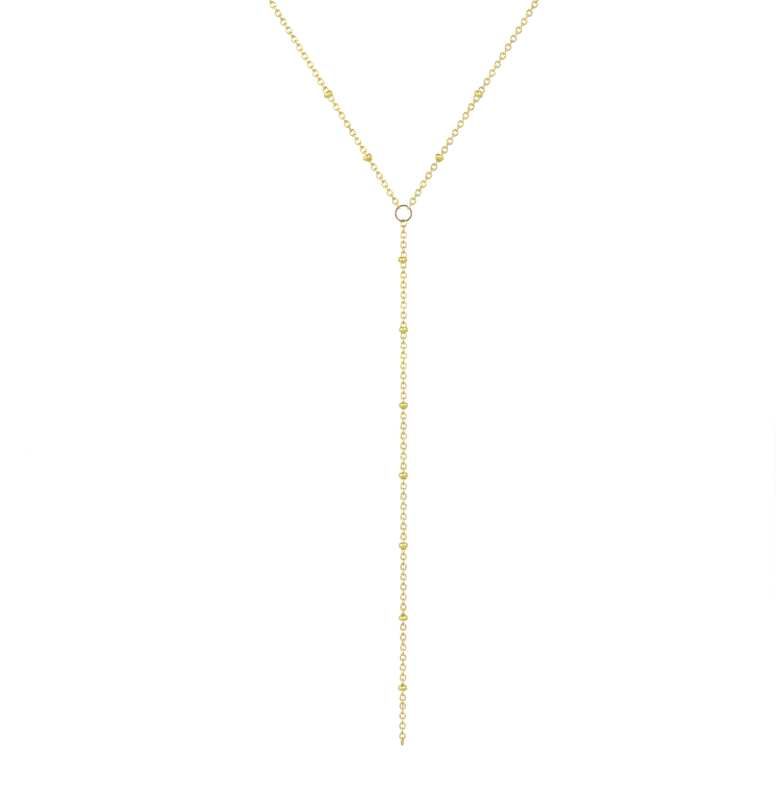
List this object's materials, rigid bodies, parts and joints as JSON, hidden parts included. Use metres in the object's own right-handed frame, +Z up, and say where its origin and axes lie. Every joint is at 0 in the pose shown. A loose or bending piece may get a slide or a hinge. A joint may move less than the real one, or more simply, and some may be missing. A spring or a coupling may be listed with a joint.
{
  "type": "y necklace",
  "caption": "Y-shaped neck chain of fine oval links with small ring beads, gathered at a round ring that carries a long straight drop of the same chain.",
  "frame": {"origin": "nape of the neck, where the chain rests behind the wearer", "axes": "+Z up, +Y to the wearer's back, +X to the right as seen from the front"},
  "size_m": [0.1174, 0.0876, 0.2543],
  "materials": {
    "chain_gold": "polished pale yellow gold",
    "bead_gold": "polished warm yellow gold",
    "ring_gold": "polished pale yellow gold"
  },
  "bodies": {
    "root": {"y_ring": "ring_gold", "upper_drop_chain": "chain_gold", "lower_drop_chain": "chain_gold", "left_chain": "chain_gold", "right_chain": "chain_gold", "left_back_chain": "chain_gold", "right_back_chain": "chain_gold", "clasp": "ring_gold", "drop_bead_1": "bead_gold", "drop_bead_2": "bead_gold", "drop_bead_3": "bead_gold", "drop_bead_4": "bead_gold", "drop_bead_5": "bead_gold", "drop_bead_6": "bead_gold", "drop_bead_7": "bead_gold", "left_bead_1": "bead_gold", "left_bead_2": "bead_gold", "right_bead_1": "bead_gold", "right_bead_2": "bead_gold"}
  },
  "joints": []
}
